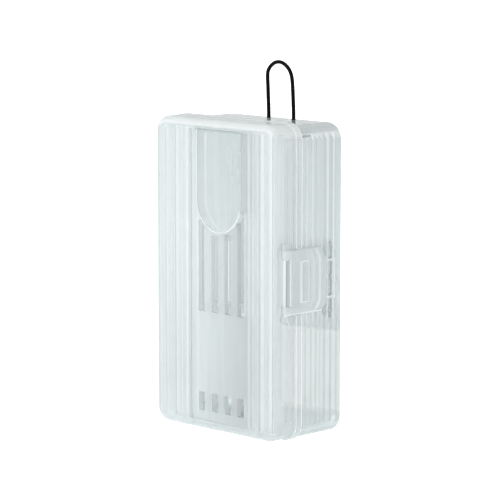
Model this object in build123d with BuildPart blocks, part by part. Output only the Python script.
from build123d import *
import math
import os

# Queen cage: a two-shell, clear plastic box that hangs between two combs.
# Frame of the whole cage: +Z up, origin at the bottom centre of its bounding box,
# front cover towards -Y, latch side towards +X.  All values in millimetres.
# Dimensions are given as x from the cover's centre line, depth behind the front
# face, and z from the cover's underside.  The sketch planes below carry them into
# the frame of the whole cage.  A pair (start, end) is a span along one direction.


def about(centre, width):
    """Span of a given width about a centre."""
    return (centre - width / 2, centre + width / 2)


def inset(span, amount):
    """Span shortened by amount at both ends; a negative amount lengthens it."""
    return (span[0] + amount, span[1] - amount)


def length(span):
    return span[1] - span[0]


# ---------------------------------------------------------------- dimensions
WIDTH = 44.0            # front cover, side to side (without the rim)
HEIGHT = 80.0           # front cover, bottom to top
DEPTH = 25.3            # front face to back face
CORNER_R = 4.1          # corner radius seen from the front
RUN = 0.06              # running clearance

COVER_X = about(0, WIDTH)
COVER_Z = (0, HEIGHT)
COVER_DEPTH = 9.0       # front face to rim plane
WALL = 1.4              # cover wall
RIM_PROUD = 0.6         # rim ring stands proud of the cover's sides
RIM_BOTTOM = 0.35       # ... of its underside
RIM_TOP = 0.15          # ... and of its top
RIM_START = 6.8         # depth at which the rim ring starts
BAND_X = (-8.3, 12.3)   # middle band of the front face
MID_X = sum(BAND_X) / 2     # centre line of the band, exit hole and lid opening

PART_GAP = 0.06         # gap between cover and base at the rim plane
BASE_START = COVER_DEPTH + PART_GAP
BASE_INSET = 0.6        # base is this much narrower on each side
BASE_TOP_DROP = 0.85
BASE_X = inset(COVER_X, BASE_INSET)
BASE_Z = (-RIM_BOTTOM, HEIGHT - BASE_TOP_DROP)
BASE_WALL = 1.3

SLOT_W = 2.4            # ventilation slot width, too narrow for a bee
SLOT_CORNER = 0.4
SLOT_X = (-4.85, -0.1, 4.6, 9.26)
LOW_SLOT_Z = (4.9, 9.9)
UP_SLOT_BOTTOM = 30.7

FLAP_X = (-6.6, 9.55)
FLAP_THICK = 1.7
FLAP_FRONT = 0.2        # depth of its outer face, a little proud of the middle band
FLAP_BACK = FLAP_FRONT + FLAP_THICK
FLAP_AXIS = (1.1, 76.75)    # (depth, z)
FLAP_BARREL_R = 0.85
FLAP_STUB_R = 0.4
FLAP_GAP = 0.07
FLAP_R = length(FLAP_X) / 2     # round lower end
FLAP_MID_X = sum(FLAP_X) / 2
FLAP_MID_Z = 51.3 + FLAP_R

LATCH_Z = (32.3, 48.7)
LATCH_X = (21.65, 22.75)
LATCH_PAD_X = 23.0          # outer face of the raised grip pad
LATCH_AXIS = (22.15, 2.95)  # (x, depth)
LATCH_ROD_R = 0.40
LATCH_EYE_R = 0.80
ARM_Z = (34.6, 46.3)        # gap between the two hinge arms
ARM_DEPTH = 4.55            # the gap between the arms ends here

HINGE_AXIS = (-24.25, COVER_DEPTH + PART_GAP / 2)   # (x, depth)
HINGE_R = 1.5
HINGE_PIN_R = 0.6
HINGE_Z = (14.0, 66.0)      # centres of the two hinges
KNUCKLE = 4.0               # length of one knuckle
KNUCKLE_GAP = 0.15

WIRE_R = 0.50
WIRE_DEPTH = 22.3
WIRE_X = (-2.28, 6.62)      # the two legs
WIRE_BOTTOM = 72.6

CUP_X = about(0, 39.0)
CUP_DEPTH = (2.1, 23.9)
CUP_Z = (10.3, 29.0)
CUP_WALL = 1.0
CUP_REBATE = 1.0            # depth of the lid's seat

PLUG_AXIS = (MID_X, 16.6)   # (x, depth)
PLUG_R = 4.5
PLUG_FLANGE_R = 5.6
PLUG_FLANGE_THICK = 1.0

# offset to the frame of the whole cage: its width runs from hinge to grip pad,
# and its underside is the rim's
FRONT_Y = -DEPTH / 2
SHIFT_X = (HINGE_R - HINGE_AXIS[0] - LATCH_PAD_X) / 2
SHIFT_Z = RIM_BOTTOM


# ------------------------------------------------------------------- helpers
def point(x, depth, z):
    """Point in the frame of the whole cage."""
    return (x + SHIFT_X, FRONT_Y + depth, z + SHIFT_Z)


def front(depth):
    """Upright plane: local (x, z), extrusion goes towards the front (-Y)."""
    return Plane(origin=point(0, depth, 0), x_dir=(1, 0, 0), z_dir=(0, -1, 0))


def side(x):
    """Upright plane: local (depth, z), extrusion goes towards +X."""
    return Plane(origin=point(x, 0, 0), x_dir=(0, 1, 0), z_dir=(1, 0, 0))


def level(z):
    """Horizontal plane: local (x, depth), extrusion goes up."""
    return Plane(origin=point(0, 0, z), x_dir=(1, 0, 0), z_dir=(0, 0, 1))


def rectangle(across, up, corner=0.0, mode=Mode.ADD):
    """Rectangle in the current sketch, given by its spans in local x and y."""
    with Locations((sum(across) / 2, sum(up) / 2)):
        if corner:
            RectangleRounded(length(across), length(up), corner, mode=mode)
        else:
            Rectangle(length(across), length(up), mode=mode)


def disc(centre, radius, mode=Mode.ADD):
    """Circle in the current sketch."""
    with Locations(centre):
        Circle(radius, mode=mode)


def knuckle_spans(*places):
    """z spans of the knuckles in these places (0 to 2, from below) of both hinges."""
    return [inset((centre + (place - 1.5) * KNUCKLE, centre + (place - 0.5) * KNUCKLE),
                  KNUCKLE_GAP / 2)
            for centre in HINGE_Z for place in places]


def save(piece, name):
    piece.part.label = name
    export_step(piece.part, f"parts/{name}.step")


os.makedirs("parts", exist_ok=True)

# =============================================================== front cover
COVER_BEVEL = 2.2       # rounding round the front face
FACE_Z = inset(COVER_Z, COVER_BEVEL + 0.3)      # reach of the ribs and the band
RIB_W, RIB_DEPTH = 2.7, 3.0                     # outermost rib on the latch side
RIM_OVERLAP = 0.2       # rim ring reaches this far into the wall
BAND_SINK = 0.5         # middle band of the face lies this much deeper

# flutes between the upright ribs of the front face: (centre x, width, depth)
FACE_FLUTES = (
    (-20.0, 0.55, 0.30), (-17.35, 0.75, 0.38), (-15.75, 0.35, 0.20),
    (-13.75, 0.80, 0.38), (-11.75, 0.45, 0.28), (-9.75, 0.25, 0.15),
    (13.55, 0.75, 0.38), (14.9, 0.30, 0.18), (16.50, 0.75, 0.45),
    (18.85, 0.70, 0.45), (21.05, 0.50, 0.40))
FLUTE_FLARE = 0.15      # flutes widen by this much on each side at the face
COVER_SIDE_FLUTES = (4.1, 5.5)      # depths of the V flutes of the side walls
V_FLUTE_HALF_W, V_FLUTE_SINK = 0.3, 0.2
CUT_PAST = 0.3          # flute cuts start this far outside the surface

STOP_X = (1.3, 3.2)     # closing stop below the flap
STOP_BACK = 2.7
STOP_FOOT_Z, STOP_FOOT_THICK = (49.5, 51.1), 0.9
STOP_TAB_Z, STOP_TAB_THICK = (50.3, 52.3), 0.73

BOSS_REACH = 2.2        # bosses end this far outside the flap
BOSS_DEPTH = about(2.0, 2.4)
BARREL_WINDOW_R = FLAP_BARREL_R + 0.12
STUB_BORE_REACH = 1.1

OUTSIDE_X = 26          # beyond everything on the latch side
SEAT_DEPTH = (4.2, 10.5)
SEAT_GAP = 0.2          # seat is this much longer than the clasp at each end
POCKET_X, POCKET_DEPTH = 21.2, (2.05, 4.6)
POCKET_ARM_GAP = 0.15
ROD_GROOVE_X, ROD_GROOVE_W = 21.62, 1.1
ROD_GAP_DEPTH, ROD_GAP_CORNER = about(4.15, 1.2), 0.3
BACKING_X, BACKING_THICK = 19.9, 0.85
BACKING_DEPTH = about(4.8, 5.4)
CHEEK_END, CHEEK_GAP = 1.6, 0.12    # outer and inner ends of the cheeks, from the clasp
CHEEK_SIZE, CHEEK_CORNER = 1.9, 0.5


def slot_top(x):
    """Top of the upper slot at x, just below the round end of the flap."""
    if abs(x - FLAP_MID_X) < 3:
        return FLAP_MID_Z - FLAP_R - 0.6
    reach = min(abs(x - FLAP_MID_X) + SLOT_W / 2 - 0.6, FLAP_R - 0.05)
    return FLAP_MID_Z - math.sqrt(FLAP_R ** 2 - reach ** 2) - 0.9


with BuildPart() as front_cover:
    # outer block, rounded round the front face
    with BuildSketch(front(COVER_DEPTH)):
        rectangle(COVER_X, COVER_Z, CORNER_R)
    extrude(amount=COVER_DEPTH)
    fillet(front_cover.faces().sort_by(Axis.Y)[0].edges(), COVER_BEVEL)

    # outermost rib squares up the rounded edge on the latch side
    with BuildSketch(level(FACE_Z[0])):
        rectangle((COVER_X[1] - RIB_W, COVER_X[1]), (0, RIB_DEPTH))
    extrude(amount=length(FACE_Z))
    corner_edge = (front_cover.edges().filter_by(Axis.Z)
                   .filter_by(lambda e: e.length > 60
                              and e.center().X > COVER_X[1] + SHIFT_X - 0.01
                              and e.center().Y < FRONT_Y + 0.01))
    fillet(corner_edge, 0.5)

    # proud rim ring round the rear edge
    with BuildSketch(front(COVER_DEPTH)):
        rectangle(inset(COVER_X, -RIM_PROUD), (-RIM_BOTTOM, HEIGHT + RIM_TOP), CORNER_R + 0.3)
        rectangle(inset(COVER_X, RIM_OVERLAP), inset(COVER_Z, RIM_OVERLAP),
                  CORNER_R - RIM_OVERLAP, mode=Mode.SUBTRACT)
    extrude(amount=COVER_DEPTH - RIM_START)
    rim_x = WIDTH / 2 + RIM_PROUD
    rim_edges = front_cover.edges().filter_by(
        lambda e: abs(abs(e.center().X - SHIFT_X) - rim_x) < 0.01 and e.length > 20)
    fillet(rim_edges, 0.1)

    # hollow inside
    with BuildSketch(front(COVER_DEPTH)):
        rectangle(inset(COVER_X, WALL), inset(COVER_Z, WALL), CORNER_R - WALL)
    extrude(amount=COVER_DEPTH - BAND_SINK - WALL, mode=Mode.SUBTRACT)

    # sunk middle band
    with BuildSketch(front(BAND_SINK)):
        rectangle(BAND_X, FACE_Z)
    extrude(amount=BAND_SINK + 1, mode=Mode.SUBTRACT)

    # flutes of the front face
    for x, flute_w, sink in FACE_FLUTES:
        half_mouth = flute_w / 2 + FLUTE_FLARE
        with BuildSketch(level(FACE_Z[0])):
            with BuildLine():
                Polyline((x - half_mouth, -CUT_PAST), (x - half_mouth, 0),
                         (x - flute_w / 4, sink), (x + flute_w / 4, sink),
                         (x + half_mouth, 0), (x + half_mouth, -CUT_PAST), close=True)
            make_face()
        extrude(amount=length(FACE_Z), mode=Mode.SUBTRACT)

    # V flutes of the two side walls
    for sign in (-1, 1):
        wall_x = sign * WIDTH / 2
        cut_x = wall_x + sign * CUT_PAST
        for depth in COVER_SIDE_FLUTES:
            near, far = about(depth, 2 * V_FLUTE_HALF_W)
            with BuildSketch(level(5.0)):
                with BuildLine():
                    Polyline((cut_x, near), (wall_x, near),
                             (wall_x - sign * V_FLUTE_SINK, depth),
                             (wall_x, far), (cut_x, far), close=True)
                make_face()
            extrude(amount=HEIGHT - 10, mode=Mode.SUBTRACT)

    # ventilation slots, two rows
    with BuildSketch(front(3.0)):
        for x in SLOT_X:
            rectangle(about(x, SLOT_W), LOW_SLOT_Z, SLOT_CORNER)
        for x in SLOT_X:
            rectangle(about(x, SLOT_W), (UP_SLOT_BOTTOM, slot_top(x)), SLOT_CORNER)
    extrude(amount=4.0, mode=Mode.SUBTRACT)

    # U-shaped opening for the entry flap
    left, right = inset(FLAP_X, -FLAP_GAP)
    opening_top = FLAP_AXIS[1] + 0.3
    with BuildSketch(front(4.0)):
        with BuildLine():
            Polyline((left, FLAP_MID_Z), (left, opening_top),
                     (right, opening_top), (right, FLAP_MID_Z))
            ThreePointArc((right, FLAP_MID_Z), (FLAP_MID_X, FLAP_MID_Z - FLAP_R - FLAP_GAP),
                          (left, FLAP_MID_Z))
        make_face()
    extrude(amount=6, mode=Mode.SUBTRACT)
    # closing stop: a foot on the bar below the flap, with a tab rising behind the flap
    for stop_z, thickness in ((STOP_FOOT_Z, STOP_FOOT_THICK), (STOP_TAB_Z, STOP_TAB_THICK)):
        with BuildSketch(front(STOP_BACK)):
            rectangle(STOP_X, stop_z)
        extrude(amount=thickness)

    # bearing bosses for the flap on the inner side of the face
    for boss_x in ((FLAP_X[0] - BOSS_REACH, left), (right, FLAP_X[1] + BOSS_REACH)):
        with BuildSketch(side(boss_x[0])):
            rectangle(BOSS_DEPTH, about(FLAP_AXIS[1], 2.8))
        extrude(amount=length(boss_x))
    # window for the flap barrel, open to the front and the back
    window_z = about(FLAP_AXIS[1], 2 * BARREL_WINDOW_R)
    with BuildSketch(side(left)):
        disc(FLAP_AXIS, BARREL_WINDOW_R)
        rectangle(about(FLAP_AXIS[0] - 2, 4), window_z)
        rectangle(about(FLAP_AXIS[0] + 1, 2.6), window_z)
    extrude(amount=right - left, mode=Mode.SUBTRACT)
    # stub bores
    with BuildSketch(side(FLAP_X[0] - STUB_BORE_REACH)):
        disc(FLAP_AXIS, FLAP_STUB_R + RUN)
    extrude(amount=length(FLAP_X) + 2 * STUB_BORE_REACH, mode=Mode.SUBTRACT)

    # gap in the rim and shallow seat in the side wall for the clasp plate
    seat_z = inset(LATCH_Z, -SEAT_GAP)
    with BuildSketch(level(seat_z[0])):
        rectangle((LATCH_X[0] - 0.1, OUTSIDE_X), SEAT_DEPTH)
    extrude(amount=length(seat_z), mode=Mode.SUBTRACT)
    # pockets for the two hinge eyes
    for pocket_z in ((seat_z[0], ARM_Z[0] + POCKET_ARM_GAP),
                     (ARM_Z[1] - POCKET_ARM_GAP, seat_z[1])):
        with BuildSketch(level(pocket_z[0])):
            rectangle((POCKET_X, OUTSIDE_X), POCKET_DEPTH)
        extrude(amount=length(pocket_z), mode=Mode.SUBTRACT)
    # groove for the rod between the two eyes
    with BuildSketch(level(ARM_Z[0])):
        rectangle((ROD_GROOVE_X, OUTSIDE_X), about(LATCH_AXIS[1], ROD_GROOVE_W))
    extrude(amount=length(ARM_Z), mode=Mode.SUBTRACT)
    # narrow gap behind the rod, open into the cage
    with BuildSketch(side(20.0)):
        rectangle(ROD_GAP_DEPTH, ARM_Z, ROD_GAP_CORNER)
    extrude(amount=3, mode=Mode.SUBTRACT)
    # backing pad inside the wall, behind the pockets
    with BuildSketch(side(BACKING_X)):
        rectangle(BACKING_DEPTH, inset(LATCH_Z, -1.3), 0.8)
        rectangle(ROD_GAP_DEPTH, ARM_Z, ROD_GAP_CORNER, mode=Mode.SUBTRACT)
    extrude(amount=BACKING_THICK)
    # cheeks that hold the latch rod
    for cheek_z in ((LATCH_Z[0] - CHEEK_END, LATCH_Z[0] - CHEEK_GAP),
                    (LATCH_Z[1] + CHEEK_GAP, LATCH_Z[1] + CHEEK_END)):
        with BuildSketch(level(cheek_z[0])):
            rectangle(about(LATCH_AXIS[0] - 0.35, CHEEK_SIZE),
                      about(LATCH_AXIS[1], CHEEK_SIZE), CHEEK_CORNER)
        extrude(amount=length(cheek_z))
        with BuildSketch(level(cheek_z[0] - 0.01)):
            disc(LATCH_AXIS, LATCH_ROD_R)
        extrude(amount=length(cheek_z) + 0.02, mode=Mode.SUBTRACT)

    # middle knuckle of each hinge
    hinge_x, hinge_depth = HINGE_AXIS
    root_x = COVER_X[0] + 0.2
    for knuckle_z in knuckle_spans(1):
        with BuildSketch(level(knuckle_z[0])):
            disc(HINGE_AXIS, HINGE_R)
            with BuildLine():
                Polyline((hinge_x, hinge_depth - HINGE_R), (root_x, RIM_START + 0.3),
                         (root_x, COVER_DEPTH), (hinge_x, COVER_DEPTH), close=True)
            make_face()
            disc(HINGE_AXIS, HINGE_PIN_R + RUN, mode=Mode.SUBTRACT)
        extrude(amount=length(knuckle_z))
save(front_cover, "front_cover")

# ================================================================ base shell
BACK_FILLET = 1.6
BACK_INNER = DEPTH - BASE_WALL      # depth of the inner face of the back wall
INNER_X = inset(BASE_X, BASE_WALL)  # between the inner faces of the side walls

LIP_GAP = 0.1           # clearance to the cover's inner wall
LIP_REACH = 1.2         # how far the lip steps into the cover
LIP_ROOT = 1.5          # how far it reaches back from the rim plane
LIP_STEP = 0.4          # lip stands this far inside the base's side walls
LIP_INNER_Z = (2.3, 77.45)
LIP_ROOT_X = about(0, 34.0)

# upright flutes of both side walls: (depth of the centre line, sink)
BASE_FLUTES = ((11.05, 0.30), (13.1, 0.32), (14.9, 0.30), (16.35, 0.28),
               (18.1, 0.40), (20.35, 0.40), (22.45, 0.30))
FLUTE_MOUTH, FLUTE_FLOOR = 0.62, 0.28       # half widths
SIDE_SLOT_DEPTHS = (18.1, 20.35)
SIDE_SLOT_W = 1.55
SIDE_SLOT_Z = ((30.9, 34.7), (35.65, 39.6), (40.8, 44.25), (45.2, 48.5))
RIDGE_DEPTH, RIDGE_Z = 17.5, 39.95          # centre of the ridge frame

BACK_SLOT_ROWS = (LOW_SLOT_Z, (UP_SLOT_BOTTOM, 61.6), (65.2, 70.0))
BACK_RIB_Z, BACK_RIB_THICK = about(63.5, 1.4), 1.4

SOCKET_Z = (71.5, 78.1)
SOCKET_R = 1.35
LEDGE_DEPTHS = (13.0, 21.0)
BELOW_FLOOR = -0.5      # z just below the underside, where the floor cuts start

with BuildPart() as base_shell:
    # outer block, rounded round the back face
    with BuildSketch(front(DEPTH)):
        rectangle(BASE_X, BASE_Z, CORNER_R + 0.1)
    extrude(amount=DEPTH - BASE_START)
    fillet(base_shell.faces().sort_by(Axis.Y)[-1].edges(), BACK_FILLET)

    # hollow
    with BuildSketch(front(BACK_INNER)):
        rectangle(INNER_X, inset(BASE_Z, BASE_WALL), CORNER_R - BASE_WALL)
    extrude(amount=DEPTH, mode=Mode.SUBTRACT)

    # locating lip that steps into the cover, just clear of the cover's inner wall
    with BuildSketch(front(COVER_DEPTH + LIP_ROOT)):
        rectangle(inset(COVER_X, WALL + LIP_GAP), inset(COVER_Z, WALL + LIP_GAP),
                  CORNER_R - WALL - LIP_GAP)
        rectangle(inset(INNER_X, LIP_STEP), LIP_INNER_Z,
                  CORNER_R - BASE_WALL - LIP_STEP, mode=Mode.SUBTRACT)
    extrude(amount=LIP_REACH + LIP_ROOT)
    # root of the lip on the floor
    with BuildSketch(front(COVER_DEPTH + LIP_ROOT)):
        rectangle(LIP_ROOT_X, (BASE_Z[0] + 0.6, LIP_INNER_Z[0]))
    extrude(amount=LIP_ROOT - PART_GAP)

    # upright flutes of both side walls
    for wall_x, sign in zip(BASE_X, (-1, 1)):
        cut_x = wall_x + sign * 0.4
        for depth, sink in BASE_FLUTES:
            floor_x = wall_x - sign * sink
            with BuildSketch(level(3.0)):
                with BuildLine():
                    Polyline((cut_x, depth - FLUTE_MOUTH), (wall_x, depth - FLUTE_MOUTH),
                             (floor_x, depth - FLUTE_FLOOR), (floor_x, depth + FLUTE_FLOOR),
                             (wall_x, depth + FLUTE_MOUTH), (cut_x, depth + FLUTE_MOUTH),
                             close=True)
                make_face()
            extrude(amount=74.2, mode=Mode.SUBTRACT)
    # latch side: wall thinned from the inside round the side slots
    with BuildSketch(side(INNER_X[1])):
        rectangle(about(19.4, 6.0), about(39.6, 20.0), 0.6)
    extrude(amount=0.45, both=True, mode=Mode.SUBTRACT)
    # open ventilation slots, each broken by three bridges
    with BuildSketch(side(BASE_X[1])):
        for depth in SIDE_SLOT_DEPTHS:
            for slot_z in SIDE_SLOT_Z:
                rectangle(about(depth, SIDE_SLOT_W), slot_z, 0.3)
    extrude(amount=2.5, both=True, mode=Mode.SUBTRACT)
    # low ridge that frames the middle slots
    with BuildSketch(side(BASE_X[1] - 0.5)):
        rectangle(about(RIDGE_DEPTH, 9.6), about(RIDGE_Z, 10.1), 0.5)
        rectangle(about(RIDGE_DEPTH, 8.5), about(RIDGE_Z, 8.9), 0.4, mode=Mode.SUBTRACT)
    extrude(amount=0.65)

    # small slot near the top of the latch side
    with BuildSketch(side(BASE_X[1])):
        rectangle(about(12.0, 3.2), about(76.6, 0.6), 0.2)
    extrude(amount=2.2, both=True, mode=Mode.SUBTRACT)

    # slots of the back wall, three rows
    with BuildSketch(front(DEPTH + 1)):
        for row_z in BACK_SLOT_ROWS:
            for x in SLOT_X:
                rectangle(about(x, SLOT_W), row_z, SLOT_CORNER)
    extrude(amount=4, mode=Mode.SUBTRACT)
    # stiffening rib across the inside of the back wall, between the upper two rows
    with BuildSketch(front(BACK_INNER + 0.2)):
        rectangle(inset(INNER_X, -0.2), BACK_RIB_Z)
    extrude(amount=BACK_RIB_THICK)

    # sockets for the hanger wire, joined to the back wall
    for x in WIRE_X:
        with BuildSketch(level(SOCKET_Z[0])):
            disc((x, WIRE_DEPTH), SOCKET_R)
            rectangle(about(x, 1.6), about(WIRE_DEPTH + 1.2, 2.0))
        extrude(amount=length(SOCKET_Z))
    with BuildSketch(level(WIRE_BOTTOM - 0.2)):
        for x in WIRE_X:
            disc((x, WIRE_DEPTH), WIRE_R)
    extrude(amount=12, mode=Mode.SUBTRACT)

    # two ledges on each side wall, below the candy cup
    for sign in (-1, 1):
        for depth in LEDGE_DEPTHS:
            with BuildSketch(level(CUP_Z[0] - 1.6)):
                rectangle(about(sign * (INNER_X[1] - 0.75), 1.9), about(depth, 3.0))
            extrude(amount=1.55)

    # thickened floor with the exit hole and the seat of the plug
    with BuildSketch(level(BASE_Z[0] + 0.4)):
        disc(PLUG_AXIS, PLUG_FLANGE_R + 0.9)
    extrude(amount=2.6)
    with BuildSketch(level(BELOW_FLOOR)):
        disc(PLUG_AXIS, PLUG_R + RUN)
    extrude(amount=6, mode=Mode.SUBTRACT)
    with BuildSketch(level(BELOW_FLOOR)):
        disc(PLUG_AXIS, PLUG_FLANGE_R + 0.1)
    extrude(amount=BASE_Z[0] + PLUG_FLANGE_THICK + 0.1 - BELOW_FLOOR, mode=Mode.SUBTRACT)

    # lower and upper knuckle of each hinge
    root_x = BASE_X[0] + 0.6
    for knuckle_z in knuckle_spans(0, 2):
        with BuildSketch(level(knuckle_z[0])):
            disc(HINGE_AXIS, HINGE_R)
            with BuildLine():
                Polyline((hinge_x, hinge_depth + HINGE_R), (root_x, hinge_depth + 2.6),
                         (root_x, BASE_START), (hinge_x, BASE_START), close=True)
            make_face()
            disc(HINGE_AXIS, HINGE_PIN_R, mode=Mode.SUBTRACT)
        extrude(amount=length(knuckle_z))
save(base_shell, "base_shell")

# ================================================================ hinge pins
with BuildPart() as hinge_pins:
    for centre in HINGE_Z:
        pin_z = inset(about(centre, 3 * KNUCKLE), 0.2)
        with BuildSketch(level(pin_z[0])):
            disc(HINGE_AXIS, HINGE_PIN_R)
        extrude(amount=length(pin_z))
    chamfer(hinge_pins.edges().filter_by(GeomType.CIRCLE), 0.12)
save(hinge_pins, "hinge_pins")

# =============================================================== latch clasp
CLASP_BACK = 17.6       # depth of the free end
GRIP_DEPTH, GRIP_Z = (8.3, 11.2), (35.2, 45.6)
HOOK_DEPTH, HOOK_Z = (9.2, 10.7), (36.0, 44.8)
OVERLAP = 0.2           # grip pad and hook bar reach this far into the plate

with BuildPart() as latch_clasp:
    # plate with two bevelled corners and a gap between its hinge arms
    bottom, top = LATCH_Z
    with BuildSketch(side(LATCH_X[0])):
        with BuildLine():
            Polyline((LATCH_AXIS[1], bottom), (15.9, bottom), (CLASP_BACK, bottom + 2.1),
                     (CLASP_BACK, top - 3.1), (15.5, top), (LATCH_AXIS[1], top), close=True)
        make_face()
        rectangle((1.0, ARM_DEPTH), ARM_Z, mode=Mode.SUBTRACT)
    extrude(amount=length(LATCH_X))
    fillet(latch_clasp.faces().sort_by(Axis.X)[-1].edges(), 0.25)
    # raised grip pad over the rim
    with BuildSketch(side(LATCH_X[1] - OVERLAP)):
        rectangle(GRIP_DEPTH, GRIP_Z, 0.5)
    extrude(amount=LATCH_PAD_X - LATCH_X[1] + OVERLAP)
    fillet(latch_clasp.faces().sort_by(Axis.X)[-1].edges(), 0.2)
    # hook bar on the inner side, just behind the rim plane
    with BuildSketch(side(LATCH_X[0] - 0.2)):
        rectangle(HOOK_DEPTH, HOOK_Z, 0.3)
    extrude(amount=0.2 + OVERLAP)
    # hinge eyes
    for eye_z in ((LATCH_Z[0], ARM_Z[0]), (ARM_Z[1], LATCH_Z[1])):
        with BuildSketch(level(eye_z[0])):
            disc(LATCH_AXIS, LATCH_EYE_R)
        extrude(amount=length(eye_z))
        with BuildSketch(level(eye_z[0] - 0.5)):
            disc(LATCH_AXIS, LATCH_ROD_R + 0.05)
        extrude(amount=length(eye_z) + 1, mode=Mode.SUBTRACT)
save(latch_clasp, "latch_clasp")

# ================================================================= latch rod
with BuildPart() as latch_rod:
    rod_z = inset(LATCH_Z, -CHEEK_END)
    with BuildSketch(level(rod_z[0])):
        disc(LATCH_AXIS, LATCH_ROD_R)
    extrude(amount=length(rod_z))
    chamfer(latch_rod.edges().filter_by(GeomType.CIRCLE), 0.1)
save(latch_rod, "latch_rod")

# ================================================================ entry flap
STUB_REACH = 1.0        # pivots stand out this far on each side

with BuildPart() as entry_flap:
    # tongue with a round lower end
    left, right = FLAP_X
    with BuildSketch(front(FLAP_BACK)):
        with BuildLine():
            Polyline((left, FLAP_MID_Z), (left, FLAP_AXIS[1]),
                     (right, FLAP_AXIS[1]), (right, FLAP_MID_Z))
            ThreePointArc((right, FLAP_MID_Z), (FLAP_MID_X, FLAP_MID_Z - FLAP_R),
                          (left, FLAP_MID_Z))
        make_face()
    extrude(amount=FLAP_THICK)
    fillet(entry_flap.faces().sort_by(Axis.Y)[0].edges().sort_by(Axis.Z)[:-1], 0.3)
    # barrel along the top edge and its two stub pivots
    with BuildSketch(side(left)):
        disc(FLAP_AXIS, FLAP_BARREL_R)
    extrude(amount=length(FLAP_X))
    with BuildSketch(side(left - STUB_REACH)):
        disc(FLAP_AXIS, FLAP_STUB_R)
    extrude(amount=length(FLAP_X) + 2 * STUB_REACH)
save(entry_flap, "entry_flap")

# =============================================================== hanger wire
WIRE_BEND_START = 79.6      # top of the straight legs
# centre line of the loop between the legs: (x, z)
WIRE_LOOP = (
    (-2.44, 84.2), (-2.62, 87.8), (-2.71, 89.7), (-2.56, 91.05), (-1.76, 92.25),
    (-0.32, 93.28), (1.2, 93.64), (2.72, 93.42), (4.22, 92.60), (5.27, 91.50),
    (5.89, 90.12), (6.22, 88.0), (6.45, 84.4))

with BuildPart() as hanger_wire:
    left_foot, right_foot = [point(x, WIRE_DEPTH, WIRE_BOTTOM) for x in WIRE_X]
    left_bend, right_bend = [point(x, WIRE_DEPTH, WIRE_BEND_START) for x in WIRE_X]
    with BuildLine() as wire_path:
        Line(left_foot, left_bend)
        Spline(left_bend, *[point(x, WIRE_DEPTH, z) for x, z in WIRE_LOOP], right_bend,
               tangents=((0, 0, 1), (0, 0, -1)))
        Line(right_bend, right_foot)
    with BuildSketch(Plane(origin=left_foot, z_dir=(0, 0, 1))):
        Circle(WIRE_R)
    sweep(path=wire_path.wires()[0])
save(hanger_wire, "hanger_wire")

# ================================================================= candy cup
with BuildPart() as candy_cup:
    with BuildSketch(level(CUP_Z[0])):
        rectangle(CUP_X, CUP_DEPTH, 2.0)
    extrude(amount=length(CUP_Z))
    # hollow, open at the top
    with BuildSketch(level(CUP_Z[0] + CUP_WALL)):
        rectangle(inset(CUP_X, CUP_WALL), inset(CUP_DEPTH, CUP_WALL), 1.2)
    extrude(amount=CUP_Z[1], mode=Mode.SUBTRACT)
    # rebate for the lid
    with BuildSketch(level(CUP_Z[1] - CUP_REBATE)):
        rectangle(inset(CUP_X, CUP_WALL / 2), inset(CUP_DEPTH, CUP_WALL / 2), 1.6)
    extrude(amount=2, mode=Mode.SUBTRACT)
    # passage down to the exit
    with BuildSketch(level(CUP_Z[0] - 1)):
        disc(PLUG_AXIS, PLUG_R)
    extrude(amount=3, mode=Mode.SUBTRACT)
save(candy_cup, "candy_cup")

# ================================================================= candy lid
LID_MID_DEPTH = 13.0        # depth of the centres of its three openings
FEED_HOLE = (MID_X, LID_MID_DEPTH)
FEED_HOLE_R = 4.5
COLLAR_R = 5.4
LID_EDGE = CUP_WALL / 2 + RUN

with BuildPart() as candy_lid:
    # plate with a feed hole and a slot on either side of it
    with BuildSketch(level(CUP_Z[1] - CUP_REBATE + 0.02)):
        rectangle(inset(CUP_X, LID_EDGE), inset(CUP_DEPTH, LID_EDGE), 1.55)
        disc(FEED_HOLE, FEED_HOLE_R, mode=Mode.SUBTRACT)
        with Locations((MID_X - 13.5, LID_MID_DEPTH), (MID_X + 12.0, LID_MID_DEPTH)):
            SlotOverall(7.0, 2.4, rotation=90, mode=Mode.SUBTRACT)
    extrude(amount=1.1)
    # collar round the feed hole
    with BuildSketch(level(CUP_Z[1] + 0.1)):
        disc(FEED_HOLE, COLLAR_R)
        disc(FEED_HOLE, FEED_HOLE_R, mode=Mode.SUBTRACT)
    extrude(amount=1.0)
save(candy_lid, "candy_lid")

# ================================================================= exit plug
with BuildPart() as exit_plug:
    # flange, level with the underside of the base
    with BuildSketch(level(BASE_Z[0])):
        disc(PLUG_AXIS, PLUG_FLANGE_R)
    extrude(amount=PLUG_FLANGE_THICK)
    # tubular body
    with BuildSketch(level(BASE_Z[0] + PLUG_FLANGE_THICK)):
        disc(PLUG_AXIS, PLUG_R)
        disc(PLUG_AXIS, PLUG_R - 1.0, mode=Mode.SUBTRACT)
    extrude(amount=4.6)
    # finger notch across the underside
    with BuildSketch(level(BASE_Z[0] - 0.1)):
        with Locations(PLUG_AXIS):
            SlotOverall(7.0, 1.4)
    extrude(amount=0.6, mode=Mode.SUBTRACT)
    fillet(exit_plug.faces().sort_by(Axis.Z)[-1].edges(), 0.25)
save(exit_plug, "exit_plug")
